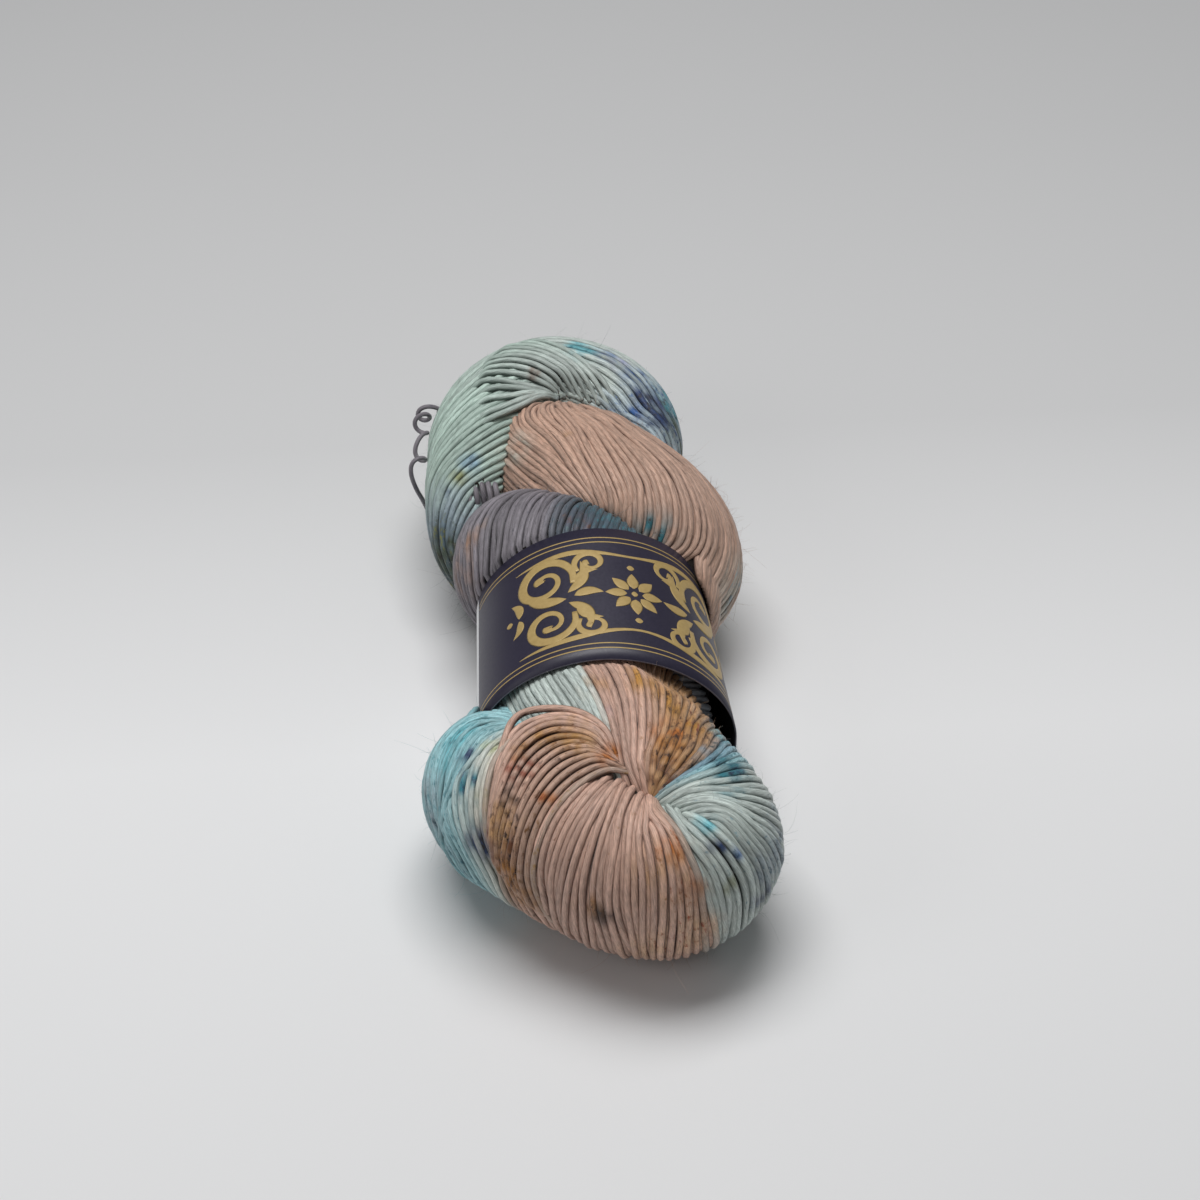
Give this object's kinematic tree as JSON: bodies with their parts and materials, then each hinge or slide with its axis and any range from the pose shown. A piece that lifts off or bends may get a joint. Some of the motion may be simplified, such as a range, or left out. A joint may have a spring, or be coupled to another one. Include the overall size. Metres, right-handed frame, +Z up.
{
  "type": "skein of yarn",
  "caption": "Twisted skein of yarn in a loose paper band, lying flat, with a tie and its curly loose end.",
  "frame": {"origin": "on the floor, under the middle of the skein's outer box without its loose end", "axes": "+Z up; +Y along the skein, away from the folded end towards the eye end; +X to the right seen from the folded end"},
  "size_m": [0.0834, 0.1983, 0.0517],
  "materials": {
    "yarn": "soft, slightly silky wool, hand dyed in aqua, grey, dusty pink and brown",
    "paper": "satin print on thin card, dark aubergine outside and white inside",
    "tie_yarn": "soft lavender grey wool"
  },
  "bodies": {
    "root": {"hank": "yarn", "paper_band": "paper", "tie_turns": "tie_yarn", "tie_end": "tie_yarn"}
  },
  "joints": []
}
